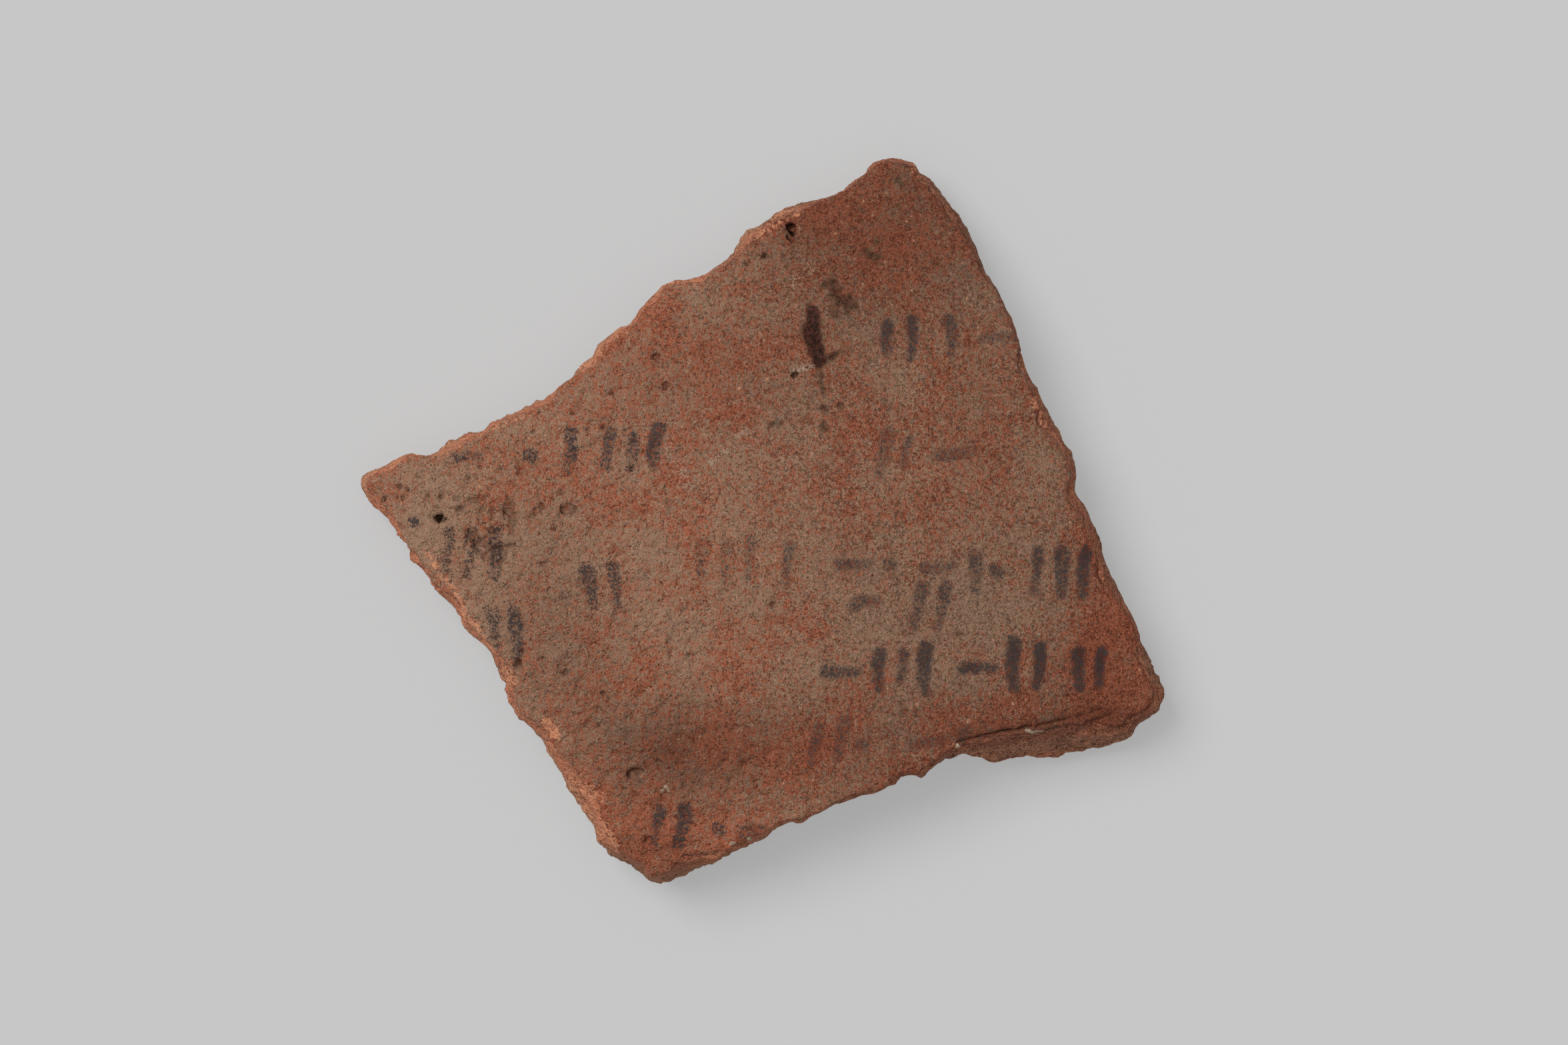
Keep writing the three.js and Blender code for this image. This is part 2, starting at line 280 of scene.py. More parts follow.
def stroke_field(strokes_px, fade):
    """The strongest stroke over each vertex, with a wavering edge that fades over these millimetres.

    A stroke is its two ends, its width and its strength.
    """
    field = np.zeros(vertex_count)
    for x1_px, y1_px, x2_px, y2_px, width_px, strength in strokes_px:
        start, end = under_pixel(x1_px, y1_px)[:2], under_pixel(x2_px, y2_px)[:2]
        half = width_px * px_in_mm / 2
        run = end - start
        middle, reach = (start + end) / 2, np.linalg.norm(run) / 2 + half + 2 * fade
        near = np.flatnonzero(np.abs(places[:, :2] - middle).max(axis=1) < reach)
        offset = places[near, :2] - start
        along = np.clip(offset @ run / (run @ run), 0, 1)
        away = np.linalg.norm(offset - along[:, None] * run, axis=1) + wobble[near]
        field[near] = np.maximum(field[near], strength * smooth(half + fade, half - fade, away))
    return field


def patch_field(patches_px):
    """The sum of soft oval patches, each with its middle, its radii along X and Y, and its amount."""
    field = np.zeros(vertex_count)
    for x_px, y_px, radius_x_px, radius_y_px, amount in patches_px:
        offset = (places[:, :2] - under_pixel(x_px, y_px)[:2]) / px_in_mm
        reach = np.hypot(offset[:, 0] / radius_x_px, offset[:, 1] / radius_y_px)
        field += amount * smooth(1.4, 0.3, reach)
    return field


# Pits left by burnt-out chaff and lost crumbs: the place, length and width in pixels, the depth as a
# share of a full pit's, and the turn from X in degrees. A crack is a stroke, as deep as it is strong.
full_pit_depth, full_crack_depth = 2.1, 1.4
crack_fade = 0.18
rim_steepness = 0.35
small_pit_count = 420
pits_px = [
    (662, 744, 12, 8, 0.2, 60), (690, 762, 16, 10, 0.25, 20), (811, 762, 18, 9, 0.25, 75),
    (660, 778, 15, 10, 0.8, 5), (745, 828, 46, 20, 0.22, 20), (718, 812, 40, 22, 0.22, 150),
    (766, 774, 60, 17, 0.2, 96), (748, 764, 36, 26, 0.16, 60), (722, 748, 26, 12, 0.2, 20),
    (1187, 347, 31, 12, 0.65, 85), (1146, 383, 12, 7, 0.3, 60), (780, 700, 34, 13, 0.16, 100),
    (704, 752, 14, 9, 0.2, 70), (738, 796, 16, 9, 0.2, 0), (688, 748, 16, 10, 0.2, 10),
    (800, 770, 22, 11, 0.2, 50), (752, 840, 18, 9, 0.2, 30), (852, 764, 24, 17, 0.2, 0),
    (836, 742, 16, 8, 0.2, 25), (815, 846, 18, 10, 0.2, 25), (917, 590, 10, 7, 0.25, 0),
    (998, 577, 14, 9, 0.25, 70), (983, 535, 12, 8, 0.2, 30), (1120, 396, 9, 7, 0.2, 0),
    (776, 996, 13, 9, 0.3, 30), (1263, 609, 13, 11, 0.15, 0),
    (1326, 605, 10, 8, 0.15, 0), (1159, 906, 12, 8, 0.2, 20), (1192, 563, 10, 7, 0.2, 40),
    (904, 640, 14, 8, 0.25, 35), (952, 1160, 24, 13, 0.22, 15), (990, 1143, 12, 8, 0.2, 0),
    (848, 1010, 14, 9, 0.25, 50), (905, 1040, 11, 8, 0.2, 100), (640, 745, 9, 7, 0.2, 0),
    (718, 700, 12, 7, 0.2, 45), (598, 730, 11, 7, 0.2, 20), (946, 704, 9, 7, 0.2, 20),
]
cracks_px = [
    (765, 752, 762, 776, 4, 0.3), (762, 776, 769, 802, 4, 0.3), (700, 796, 704, 812, 5, 0.4),
    (704, 812, 716, 830, 5, 0.4), (716, 830, 736, 836, 4, 0.3), (736, 836, 754, 830, 4, 0.3),
    (722, 744, 734, 758, 4, 0.25), (734, 758, 744, 784, 4, 0.25), (744, 784, 752, 790, 4, 0.25),
    (1092, 535, 1102, 556, 5, 0.15), (1430, 653, 1445, 662, 4, 0.12), (1568, 848, 1585, 866, 4, 0.12),
    (790, 752, 812, 742, 4, 0.2), (684, 812, 694, 836, 4, 0.2), (800, 905, 812, 925, 4, 0.15),
    (1436, 1114, 1470, 1108, 4, 0.3), (1470, 1108, 1512, 1098, 5, 0.35), (1512, 1098, 1548, 1091, 5, 0.35),
    (1556, 1090, 1600, 1080, 4, 0.25), (1600, 1080, 1652, 1066, 4, 0.25), (1590, 1048, 1640, 1036, 4, 0.12),
    (1480, 1116, 1530, 1108, 4, 0.25), (1540, 1108, 1600, 1098, 4, 0.25), (1618, 1090, 1670, 1072, 4, 0.25),
]
rim_wobble = ripple(places, 0.55, seed=14) + 0.8 * ripple(places, 0.3, seed=16)


def pit_share(centre, length, width, turn_deg):
    """1 in the middle of a ragged oval, 0 at its rim and outside."""
    offset = places[:, :2] - centre[:2]
    cosine, sine = math.cos(math.radians(turn_deg)), math.sin(math.radians(turn_deg))
    along = offset[:, 0] * cosine + offset[:, 1] * sine
    beside = offset[:, 1] * cosine - offset[:, 0] * sine
    reach = (along / (length / 2)) ** 2 + (beside / (width / 2)) ** 2 + 1.2 * rim_wobble
    return np.clip(1 - reach, 0, 1) * smooth(0.5 * wall, 0.3 * wall, depth)


pit_depth = full_crack_depth * stroke_field(cracks_px, crack_fade)
for x_px, y_px, length_px, width_px, depth_share, turn_deg in pits_px:
    share = pit_share(under_pixel(x_px, y_px), length_px * px_in_mm, width_px * px_in_mm, turn_deg)
    pit_depth = np.maximum(pit_depth, full_pit_depth * depth_share * share ** rim_steepness)

# Small pits are scattered by chance, more and deeper ones towards the left.
chance = random.Random(31)
for _ in range(small_pit_count):
    share_across = chance.random() ** 1.7
    x_px = sherd_left_px + share_across * (sherd_right_px - sherd_left_px)
    y_px = chance.uniform(sherd_top_px, sherd_bottom_px)
    length = chance.uniform(0.4, 0.9)
    width = length * chance.uniform(0.5, 0.9)
    sunk, turn_deg = chance.uniform(0.1, 0.5) * (1.1 - share_across), chance.uniform(0, 180)
    hit = sherd_tree.ray_cast(camera.location, line_of_sight(x_px, y_px))[0]
    if hit is not None:
        share = pit_share(np.array(hit) / MM, length, width, turn_deg)
        pit_depth = np.maximum(pit_depth, sunk * share ** rim_steepness)

# Their floors are knobbly. Dirt and painted shade darken them, and the deep pits that the frame has away
# from breaks.
knobs = ripple(places, 0.45, seed=9)
relief -= pit_depth * (1 + 0.8 * knobs) * smooth(0.6, 0.9, upward)
inland = smooth(0.6, 1.6, from_break) * smooth(0.45 * wall, 0.3 * wall, depth)
pit_dirt_and_shade = np.clip(1.1 * pit_depth + 0.2 * inland * smooth(0.3, 0.8, depth), 0, 1)

# The worn flats that the sherd stands on stay as the frame has them.
relief *= smooth(0.1, 0.5, height)

# Worn pen marks: rows of plain ticks, dashes and dots, as on a tally. A row is the place of its first
# mark, its fall over 100 pixels, the strength of its ink at each end, and its marks in order.
tally_rows_px = [
    (1312, 506, 3, 0.95, 0.35, "|| | -"),
    (664, 690, -5, 0.6, 0.85, "-  . | |||"),
    (1306, 682, 0, 0.42, 0.42, "|| -"),
    (606, 786, 9, 0.6, 0.7, "."),
    (650, 826, 4, 0.55, 0.75, "|||"),
    (722, 938, 20, 0.65, 0.7, "||"),
    (868, 884, 0, 0.8, 0.7, "||"),
    (1034, 842, 2, 0.4, 0.55, "||| |  -."),
    (1372, 852, 4, 0.5, 1.0, "-|. |||"),
    (1262, 910, -2, 0.6, 0.65, "- ||"),
    (1226, 1006, -1, 0.8, 1.0, "-||| -|| ||"),
    (1206, 1112, 2, 0.45, 0.4, "||.  -|"),
    (968, 1240, 6, 0.85, 0.5, "|| .-"),
]

# The length of each kind of mark, the width of the pen, the lean of ticks, and the room each mark takes.
tick_px, dash_px, dot_px, pen_px = 58, 44, 5, 20
tick_lean_px = 7
advance_px = {"|": 36, "-": 74, ".": 32, " ": 22}


def bowed_stroke(x1_px, y1_px, x2_px, y2_px, bow_px, width_px, strength):
    """A pen stroke as short straight runs along a shallow bow, which thins and pales to its end."""
    steps = 4
    thinning = 0.3
    length = math.hypot(x2_px - x1_px, y2_px - y1_px)
    runs = []
    for step in range(steps):
        ends = []
        for share in (step / steps, (step + 1) / steps):
            bow = 4 * bow_px * share * (1 - share)
            ends.append(x1_px + (x2_px - x1_px) * share - bow * (y2_px - y1_px) / length)
            ends.append(y1_px + (y2_px - y1_px) * share + bow * (x2_px - x1_px) / length)
        left = 1 - thinning * (step / steps)
        runs.append((*ends, width_px * left, strength * left))
    return runs


pen = random.Random(12)
ink_strokes_px = []
for first_x_px, first_y_px, fall, first, last, marks in tally_rows_px:
    written_px = 0
    row_lean_px = pen.uniform(-1, 1) * tick_lean_px
    for index, mark in enumerate(marks):
        written_px += advance_px[mark] / 2
        x_px = first_x_px + written_px + pen.uniform(-2, 2)
        y_px = first_y_px + fall * written_px / 100 + pen.uniform(-5, 5)
        written_px += advance_px[mark] / 2
        if mark == " ":
            continue
        strength = (first + (last - first) * index / len(marks)) * pen.uniform(0.8, 1.05)
        size = pen.uniform(0.7, 1.15)
        width_px = pen_px * pen.uniform(0.75, 1.15)
        lean_px, bow_px = row_lean_px + pen.uniform(-2, 2), pen.uniform(-4, 4)
        if mark == "|":
            reach_x, reach_y = lean_px, size * tick_px / 2
        elif mark == "-":
            reach_x, reach_y = size * dash_px / 2, lean_px / 2
        else:
            reach_x, reach_y = dot_px / 2, dot_px / 2
        ends = (x_px - reach_x, y_px - reach_y, x_px + reach_x, y_px + reach_y)
        ink_strokes_px += bowed_stroke(*ends, bow_px, width_px, strength)

# Old spills, the palest of which are olive, rubbed pale streaks, grits of lime, and bright spots on the
# edges: partly late chips where the clay is bright, partly painted light on edges lit from the upper left.
# Each is a stroke.
stain_strokes_px = [
    (1220, 468, 1218, 494, 24, 0.9), (1216, 494, 1228, 538, 28, 0.95), (1236, 536, 1250, 532, 18, 0.75),
    (1230, 548, 1233, 566, 9, 0.75), (1242, 432, 1276, 456, 26, 0.6), (1250, 420, 1256, 474, 18, 0.6),
    (1268, 462, 1280, 470, 14, 0.6), (1233, 575, 1235, 596, 8, 0.7), (1264, 524, 1268, 518, 12, 0.55),
    (1297, 372, 1308, 384, 14, 0.7), (1349, 272, 1351, 274, 11, 0.7), (1309, 392, 1316, 388, 11, 0.6),
    (1236, 612, 1236, 644, 12, 0.55), (1251, 674, 1251, 684, 10, 0.4), (1224, 558, 1238, 556, 8, 0.5),
    (1263, 606, 1263, 612, 14, 0.5), (1326, 604, 1326, 608, 12, 0.5), (1152, 638, 1168, 632, 11, 0.6),
    (1434, 953, 1446, 949, 9, 0.5), (1553, 956, 1577, 960, 8, 0.55), (1372, 744, 1376, 746, 12, 0.45),
    (1227, 746, 1229, 748, 12, 0.45), (1310, 365, 1320, 372, 20, 0.45), (1292, 312, 1296, 316, 12, 0.6),
    (1300, 375, 1306, 382, 14, 0.4), (1218, 572, 1250, 566, 10, 0.4), (1200, 590, 1230, 596, 8, 0.35),
]
pale_strokes_px = [
    (1192, 556, 1218, 552, 6, 0.9), (1066, 694, 1092, 674, 8, 0.8), (1178, 622, 1166, 630, 8, 0.6),
    (1092, 670, 1118, 644, 6, 0.55), (1018, 700, 1032, 730, 20, 0.4), (1000, 660, 1010, 700, 16, 0.3),
    (962, 1158, 964, 1172, 6, 0.5), (1488, 610, 1496, 614, 9, 0.3), (1560, 798, 1564, 802, 8, 0.3),
    (1178, 690, 1200, 690, 22, 0.25), (1040, 640, 1060, 610, 12, 0.3), (1195, 425, 1215, 400, 22, 0.3),
]
lime_grits_px = [
    (1098, 1266, 1100, 1266, 8, 1), (1123, 1258, 1124, 1258, 5, 0.9), (1558, 952, 1559, 952, 4, 0.8),
    (1452, 691, 1453, 691, 3, 0.8), (1365, 437, 1366, 437, 4, 0.7), (1204, 553, 1205, 553, 4, 0.9),
    (1524, 552, 1525, 552, 4, 0.7), (1607, 804, 1608, 804, 4, 0.7), (1347, 843, 1348, 843, 4, 0.9),
    (998, 1180, 1001, 1182, 4, 0.9), (1003, 1188, 1004, 1188, 4, 0.8), (992, 1186, 993, 1186, 3, 0.8),
    (1540, 1096, 1549, 1098, 5, 0.8), (1549, 1098, 1563, 1097, 4, 0.9), (1199, 1061, 1200, 1061, 4, 0.7),
    (922, 1058, 923, 1059, 4, 0.6), (1436, 1119, 1437, 1119, 5, 0.8), (762, 664, 763, 664, 3, 0.7),
]
chip_and_light_spots_px = [
    (588, 690, 598, 684, 14, 0.9), (756, 1004, 768, 1022, 16, 0.9), (818, 1084, 832, 1102, 16, 1.0),
    (1710, 974, 1714, 998, 12, 0.9), (872, 548, 900, 528, 16, 0.9), (1555, 604, 1570, 634, 14, 0.8),
    (852, 1162, 894, 1196, 26, 0.6), (880, 1220, 902, 1258, 22, 0.6), (1160, 330, 1190, 318, 16, 0.7),
    (906, 516, 938, 490, 12, 0.8), (652, 684, 690, 668, 10, 0.7), (1005, 427, 1040, 420, 12, 0.7),
    (720, 650, 800, 620, 10, 0.6), (550, 710, 560, 690, 14, 0.7), (1240, 285, 1290, 265, 10, 0.5),
    (640, 830, 690, 900, 10, 0.7), (1366, 246, 1398, 284, 12, 0.5), (1432, 1120, 1480, 1134, 7, 0.8),
    (1480, 1134, 1560, 1136, 6, 0.8), (1600, 1130, 1690, 1106, 5, 0.7), (690, 905, 730, 985, 10, 0.8),
    (905, 1240, 925, 1275, 14, 0.6), (1120, 362, 1160, 340, 12, 0.6), (1440, 420, 1500, 560, 6, 0.4),
]

# The thin buff wash: where more or less of it is left than on the whole face, and where dirt and painted
# shade darken the clay.
wash_patches_px = [
    (680, 800, 180, 190, 0.12), (850, 900, 160, 160, 0.08), (1420, 900, 160, 90, 0.24),
    (1330, 320, 150, 130, -0.3), (1480, 520, 70, 200, -0.12), (1080, 540, 200, 90, -0.14),
    (1640, 800, 50, 140, -0.12), (1680, 1000, 80, 100, -0.6), (1560, 1070, 180, 40, -0.28),
    (1240, 1130, 260, 60, -0.14), (1000, 1240, 160, 70, -0.28), (900, 1110, 90, 120, -0.08),
    (1100, 1130, 140, 50, -0.15), (1000, 760, 90, 60, -0.08), (800, 690, 80, 40, -0.12),
    (1180, 300, 90, 70, -0.1),
]
# Patches of darker clay: partly dirt, partly painted shade, as in the thin bands along the lower right
# break.
dirt_and_shade_patches_px = [
    (1310, 340, 190, 170, 0.56), (1480, 560, 80, 220, 0.16), (1640, 880, 90, 200, 0.14),
    (1540, 1070, 220, 60, 0.3), (1180, 1120, 260, 90, 0.32), (1000, 1180, 120, 90, 0.24),
    (1470, 1106, 70, 16, 0.5), (1570, 1088, 70, 16, 0.5), (1640, 1070, 60, 16, 0.4),
    (950, 1100, 130, 100, 0.3), (1090, 1120, 130, 70, 0.18), (960, 1290, 90, 40, 0.5),
    (1080, 560, 200, 100, 0.2), (1660, 1010, 90, 80, 0.12), (840, 960, 110, 120, 0.32),
    (830, 780, 110, 90, 0.1),
]
usual_wash = 0.6
rubbed_edge = smooth(0.9, 0.1, from_break)
wash = np.clip(usual_wash + patch_field(wash_patches_px) + 0.16 * swell - 0.15 * rubbed_edge, 0, 1)
broken = smooth(0.3, 0.8, depth) * smooth(3, 1.5, from_break)

# The mesh keeps these fields as attributes, which the clay's finish reads.
drawn = {
    "ink": stroke_field(ink_strokes_px, fade=0.3) * on_face,
    "stain": stroke_field(stain_strokes_px, fade=0.6) * on_face,
    "pale": stroke_field(pale_strokes_px, fade=0.3) * on_face,
    "lime": stroke_field(lime_grits_px, fade=0.1) * (1 - on_hollow),
    "chips_and_painted_light": stroke_field(chip_and_light_spots_px, fade=0.5),
    "dirt_and_shade_in_pits": pit_dirt_and_shade,
}
spread = {
    "wash": wash, "dirt_and_shade": np.clip(patch_field(dirt_and_shade_patches_px), 0, 1), "wall_depth": depth,
    "broken": broken, "hollow_face": on_hollow, "weathered": weathered,
}
for name, values in (drawn | spread).items():
    attribute = fine_mesh.attributes.new(name, "FLOAT", "POINT")
    attribute.data.foreach_set("value", values.astype(np.float32))

# The grits of lime stand up a little. Then each point moves out by its relief, and none below the table.
lime_height = 0.08
table_gap = 0.03
relief += lime_height * drawn["lime"]
places = places + normals * relief[:, None]
places[:, 2] = np.maximum(places[:, 2], table_gap)
fine_mesh.vertices.foreach_set("co", (places * MM).ravel())
fine_mesh.update()

# The mesh is thinned twice: first on the hollow face, and then where the clay is plain, without a mark.
no_mark = 0.02
fine_sherd = add_piece(fine_mesh, "sherd_fine")
fine_triangles = sum(len(polygon.vertices) - 2 for polygon in fine_mesh.polygons)
hollow_share = np.count_nonzero(on_hollow > 0.5) / vertex_count
without_hollow = fine_triangles * (1 - hollow_share) + hollow_triangles
marked = np.max(list(drawn.values()), axis=0)


def thin_out(name, chosen, share_left):
    """Collapses edges among the chosen vertices until this share of the triangles is left."""
    group = fine_sherd.vertex_groups.new(name=name)
    group.add(np.flatnonzero(chosen).tolist(), 1, "REPLACE")
    thinning = fine_sherd.modifiers.new(name, "DECIMATE")
    thinning.vertex_group = group.name
    thinning.ratio = min(1, share_left)


thin_out("hollow_clay", on_hollow > 0.5, without_hollow / fine_triangles)
thin_out("plain_clay", marked < no_mark, most_triangles / without_hollow)
sherd_mesh = finished_mesh(fine_sherd, "sherd_body")
sherd_mesh.polygons.foreach_set("use_smooth", [True] * len(sherd_mesh.polygons))
sherd_mesh.materials.clear()
sherd_body = add_piece(sherd_mesh, "sherd_body")


# The clay's finish. Red silt clay shows through a thin grey-buff wash, both speckled with sand. The
# ink lies in the pores as blue-black grains, and a break shows a red skin round a grey-brown core.
class Field:
    """A socket whose value changes over a surface. Sums of fields add the nodes that work them out."""

    def __init__(self, socket):
        self.socket = socket

    def node(self, kind, settings, inputs, output=0):
        """Adds a node, makes its settings, then gives its inputs their values or links."""
        tree = self.socket.id_data
        made = tree.nodes.new(kind)
        for name, value in settings.items():
            setattr(made, name, value)
        for key, value in inputs.items():
            if isinstance(value, Field):
                tree.links.new(value.socket, made.inputs[key])
            else:
                made.inputs[key].default_value = value
        return Field(made.outputs[output])

    def math(self, operation, first, second):
        return self.node("ShaderNodeMath", {"operation": operation}, {0: first, 1: second})

    def __add__(self, other):
        return self.math("ADD", self, other)

    def __sub__(self, other):
        return self.math("SUBTRACT", self, other)

    def __rsub__(self, other):
        return self.math("SUBTRACT", other, self)

    def __mul__(self, other):
        return self.math("MULTIPLY", self, other)

    __radd__ = __add__
    __rmul__ = __mul__

    def rise(self, low, high):
        """0 below low and 1 above high, with a soft rise between."""
        settings = {"interpolation_type": "SMOOTHSTEP"}
        return self.node("ShaderNodeMapRange", settings, {"Value": self, "From Min": low, "From Max": high})

    def between(self, none, full):
        """A colour, from one at 0 to the other at 1. The numbers are the node's sockets for colours."""
        return self.node("ShaderNodeMix", {"data_type": "RGBA"}, {0: self, 6: none, 7: full}, 2)

    def grain(self, per_mm, detail=2, roughness=0.5):
        """Noise on a field of places, mostly within 0.3 of nothing, with so many swells a millimetre."""
        inputs = {"Vector": self, "Scale": per_mm, "Detail": detail, "Roughness": roughness}
        return self.node("ShaderNodeTexNoise", {"noise_dimensions": "3D"}, inputs) - 0.5

    def pebbles(self, per_mm):
        """Rounded grains side by side on a field of places: highest in the middle of each."""
        inputs = {"Vector": self, "Scale": per_mm}
        return 0.5 - self.node("ShaderNodeTexVoronoi", {"feature": "F1"}, inputs)

    def stretched(self, x, y, z):
        return self.node("ShaderNodeVectorMath", {"operation": "MULTIPLY"}, {0: self, 1: (x, y, z)})


def shown(red, green, blue):
    """A colour as it is seen on a screen, from 0 to 255, as the light that a material takes."""
    scaled = [channel / 255 for channel in (red, green, blue)]
    return (*[((channel + 0.055) / 1.055) ** 2.4 for channel in scaled], 1)


def new_finish(name, roughness, specular):
    """A material, its shader, and the places on the piece in millimetres as a first field."""
    material = bpy.data.materials.new(name)
    material.use_nodes = True
    shader = material.node_tree.nodes["Principled BSDF"]
    shader.inputs["Roughness"].default_value = roughness
    shader.inputs["Specular IOR Level"].default_value = specular
    coordinates = material.node_tree.nodes.new("ShaderNodeTexCoord")
    in_metres = Field(coordinates.outputs["Object"])
    return material, shader, in_metres.stretched(1 / MM, 1 / MM, 1 / MM)


def link(field, shader, socket):
    shader.id_data.links.new(field.socket, shader.inputs[socket])


clay, clay_shader, spot = new_finish("fired_clay", roughness=0.9, specular=0.25)


def kept(name):
    """A field that the mesh keeps as an attribute, read as a plain number."""
    return spot.node("ShaderNodeAttribute", {"attribute_name": name}, {}, 2)


# Grains of every size, from the finest. Most colours run from a dark one to a light one with them.
pepper = spot.grain(13, detail=1)
dust = spot.grain(6.5, roughness=0.6)
red_dust = spot.grain(5.3, roughness=0.6)
sand = spot.grain(3.4, roughness=0.6)
flecks = spot.stretched(1, 0.7, 1).grain(2.2, detail=3, roughness=0.6)
coarse_sand = spot.grain(1.7, roughness=0.55)
blotches = spot.grain(0.5, detail=3, roughness=0.6)
clouds = spot.grain(0.16)

# The outer face: the wash thins to flecks over the red clay, with dark pores and bright grains.
weathered_away = kept("weathered") - least_weathered
speckle = 1.4 * pepper + (2.4 * dust + 1.7 * sand + 1.1 * coarse_sand) * (1 + 0.4 * weathered_away)
grain_share = 0.62 + speckle + 0.5 * blotches + 0.35 * clouds + 0.72 * weathered_away
red_clay = grain_share.between(shown(98, 48, 33), shown(184, 102, 70))
buff_wash = grain_share.between(shown(101, 74, 58), shown(172, 136, 110))
flecking = 2.1 * flecks + 2 * red_dust + 0.5 * blotches + 1.1 * clouds
cover = (kept("wash") + flecking).rise(0.12, 0.88)
face_colour = cover.between(red_clay, buff_wash)
pores = (coarse_sand + 0.8 * sand + 0.8 * dust).rise(0.23, 0.33) * 0.5
face_colour = pores.between(face_colour, shown(58, 40, 31))
bright_grains = (pepper + 1.2 * dust + 0.8 * sand).rise(0.18, 0.4) * (0.35 + 0.4 * weathered_away)
face_colour = bright_grains.between(face_colour, shown(214, 178, 154))

# The breaks, with their core deep in the wall, then dirt and painted shade on all of it, the bright clay of
# late chips and painted light on edges that face the upper left, and pale crumbs.
streaks = spot.stretched(0.4, 0.4, 2.4).grain(1, detail=4, roughness=0.65)
wall_depth = kept("wall_depth") + 1.6 * clouds + 0.9 * blotches + 1.2 * streaks
core = wall_depth.rise(0.25 * wall, 0.4 * wall) * (1 - wall_depth.rise(0.68 * wall, 0.82 * wall))
broken_grain = 0.06 + grain_share + 1.6 * streaks + 0.6 * blotches
red_body = broken_grain.between(shown(108, 52, 36), shown(220, 140, 104))
grey_body = broken_grain.between(shown(104, 66, 47), shown(206, 148, 114))
break_colour = (core * 0.85).between(red_body, grey_body)
broken_share = (kept("broken") + 0.8 * coarse_sand + 0.6 * sand).rise(0.35, 0.65)
colour = broken_share.between(face_colour, break_colour)
# Dirt and painted shade: the clay darkens over the patches.
dirt_and_shade = kept("dirt_and_shade") * (0.62 + 0.9 * clouds + 0.5 * flecks)
colour = dirt_and_shade.between(colour, shown(60, 34, 24))
# Bright late chips, and painted light on the edges that face the key lamp at the upper left.
chips_and_painted_light = (kept("chips_and_painted_light") + 1.5 * flecks + 1.5 * coarse_sand + sand).rise(0.4, 0.8) * 0.8
colour = chips_and_painted_light.between(colour, grain_share.between(shown(146, 72, 46), shown(240, 164, 124)))
crumbs = (pepper + 1.4 * dust + 1.1 * sand).rise(0.1, 0.4) * kept("broken") * 0.45
colour = crumbs.between(colour, shown(238, 176, 146))

# The hollow face is plain clay, without the wash.
hollow_colour = grain_share.between(shown(98, 58, 42), shown(174, 118, 90))
colour = kept("hollow_face").between(colour, hollow_colour)

# The marks: ink, stains, pale streaks, the dirt and painted shade in pits, and lime. Each ends in a ragged
# edge of grains.
pore_noise = 1.2 * pepper + 2.6 * dust + 3 * sand + 1.6 * coarse_sand
ink_cover = (kept("ink") * 1.4 - 0.72 + 1.1 * pore_noise).rise(-0.2, 0.28) * kept("ink").rise(0.02, 0.2)
colour = (ink_cover * 0.93).between(colour, grain_share.between(shown(28, 25, 27), shown(72, 62, 61)))
ragged = spot.grain(1.1)
stain_noise = 0.5 * pore_noise + 3.2 * ragged
stain_cover = (kept("stain") * 1.8 - 0.85 + stain_noise).rise(-0.08, 0.14) * kept("stain").rise(0.02, 0.2)
stain_grain = 0.35 + 2 * dust + 2.5 * sand + 2 * coarse_sand
olive_stain = stain_grain.between(shown(44, 30, 20), shown(104, 82, 58))
dark_stain = stain_grain.between(shown(12, 5, 7), shown(84, 40, 28))
stain_colour = kept("stain").rise(0.5, 0.7).between(olive_stain, dark_stain)
colour = (stain_cover * (0.45 + 0.5 * kept("stain"))).between(colour, stain_colour)
pale_cover = (kept("pale") * 1.4 - 0.6 + pore_noise).rise(-0.1, 0.6) * kept("pale").rise(0.02, 0.3)
colour = (pale_cover * 0.55).between(colour, shown(196, 170, 148))
# Pits darken with dirt and with painted shade, and the same shape sinks them a little in the bump.
pit_shape_and_shade = (kept("dirt_and_shade_in_pits") + 0.5 * sand + 0.6 * dust).rise(0.1, 0.45) * kept("dirt_and_shade_in_pits").rise(0.02, 0.2)
colour = (pit_shape_and_shade * 0.42).between(colour, shown(74, 47, 34))
lime_shape = (kept("lime") + 0.8 * sand + 0.8 * dust).rise(0.4, 0.65) * 0.8
colour = lime_shape.between(colour, shown(196, 178, 152))
link(colour, clay_shader, "Base Color")
link(0.92 - 0.4 * coarse_sand - 0.1 * ink_cover, clay_shader, "Roughness")

# The grains stand up from the clay, most where it has weathered and on the breaks.
hollows = (coarse_sand + 0.7 * sand).rise(0.12, 0.24)
grains = 0.5 * sand + 0.3 * spot.pebbles(2.6) + 1.5 * coarse_sand - 0.35 * hollows
lumpy_height = grains * (0.3 + 1.6 * weathered_away + 0.5 * kept("broken"))
grain_height = 0.4 * pepper + 0.8 * dust * (1 - 0.4 * weathered_away) + 1.1 * lumpy_height - 0.3 * pit_shape_and_shade
bump_strength, bump_height = 0.95, 0.29 * MM
bump_inputs = {"Strength": bump_strength, "Distance": bump_height, "Height": grain_height}
link(grain_height.node("ShaderNodeBump", {}, bump_inputs), clay_shader, "Normal")

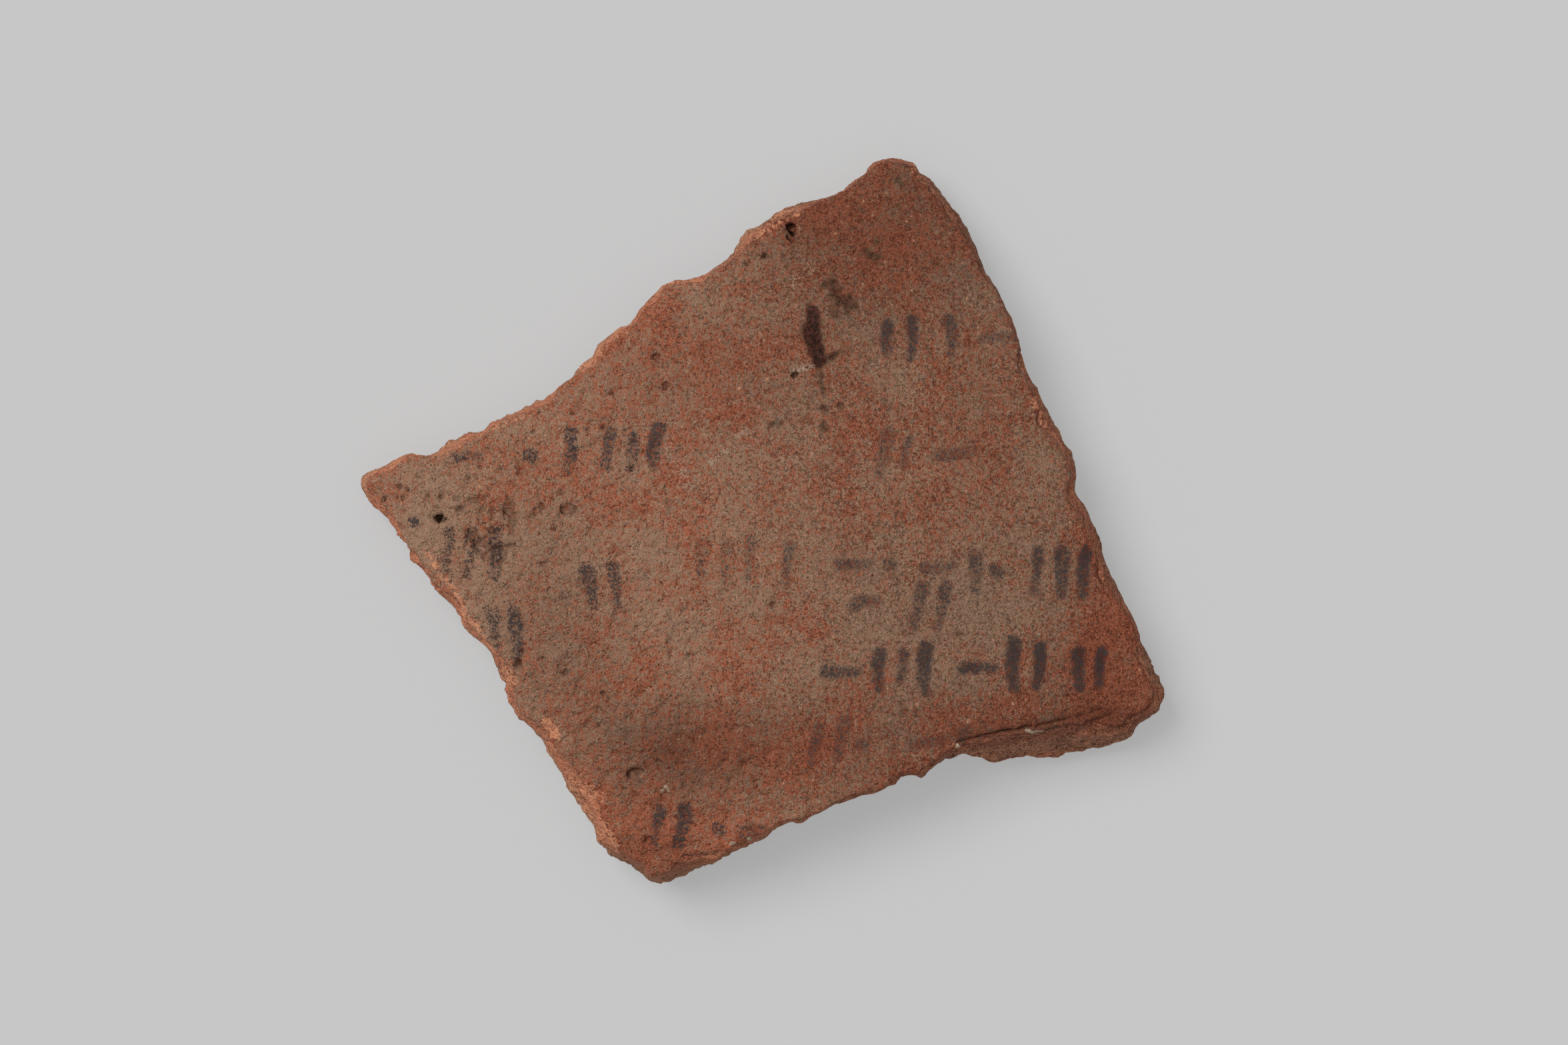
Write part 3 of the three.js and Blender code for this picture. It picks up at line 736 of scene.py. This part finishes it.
sherd_mesh.materials.append(clay)
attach(sherd_body, "root")
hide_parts("sherd")

# A plain pale table under soft studio light: a broad key from the upper left, a wide lamp overhead and
# an even sky. The camera sees the table partly as bright paper, so that the shadow on it stays light.
table_size = 4
paper_level = 199
paper_glow = 0.57
table = bmesh.new()
bmesh.ops.create_grid(table, x_segments=1, y_segments=1, size=table_size / 2)
table_mesh = bpy.data.meshes.new("table")
table.to_mesh(table_mesh)
table.free()
table_top = add_piece(table_mesh, "table")
paper, paper_shader, paper_spot = new_finish("paper", roughness=1, specular=0)
paper_colour = shown(paper_level, paper_level, paper_level)
paper_shader.inputs["Base Color"].default_value = paper_colour
matt_paper = Field(paper_shader.outputs[0])
bright_paper = paper_spot.node("ShaderNodeEmission", {}, {"Color": paper_colour})
glow_share = paper_spot.node("ShaderNodeLightPath", {}, {}) * paper_glow
seen_paper = glow_share.node("ShaderNodeMixShader", {}, {0: glow_share, 1: matt_paper, 2: bright_paper})
link(seen_paper, paper.node_tree.nodes["Material Output"], "Surface")
table_mesh.materials.append(paper)


def hang_lamp(name, share, height_deg, turn_deg, spread_deg):
    """A broad far lamp that gives the table this share of its light, from this height and turn from X."""
    lamp = bpy.data.objects.new(name, bpy.data.lights.new(name, "SUN"))
    bpy.context.scene.collection.objects.link(lamp)
    lamp.data.energy = share * math.pi / math.sin(math.radians(height_deg))
    lamp.data.angle = math.radians(spread_deg)
    lamp.rotation_euler = (math.radians(90 - height_deg), 0, math.radians(turn_deg + 90))


key_share, overhead_share = 0.56, 0.28
hang_lamp("key", key_share, height_deg=56, turn_deg=142, spread_deg=32)
hang_lamp("overhead", overhead_share, height_deg=84, turn_deg=142, spread_deg=76)

sky = bpy.data.worlds.new("sky")
bpy.context.scene.world = sky
sky.use_nodes = True
sky.node_tree.nodes["Background"].inputs["Color"].default_value = (1, 1, 1, 1)
sky.node_tree.nodes["Background"].inputs["Strength"].default_value = 1 - key_share - overhead_share
bpy.context.scene.view_settings.view_transform = "Standard"
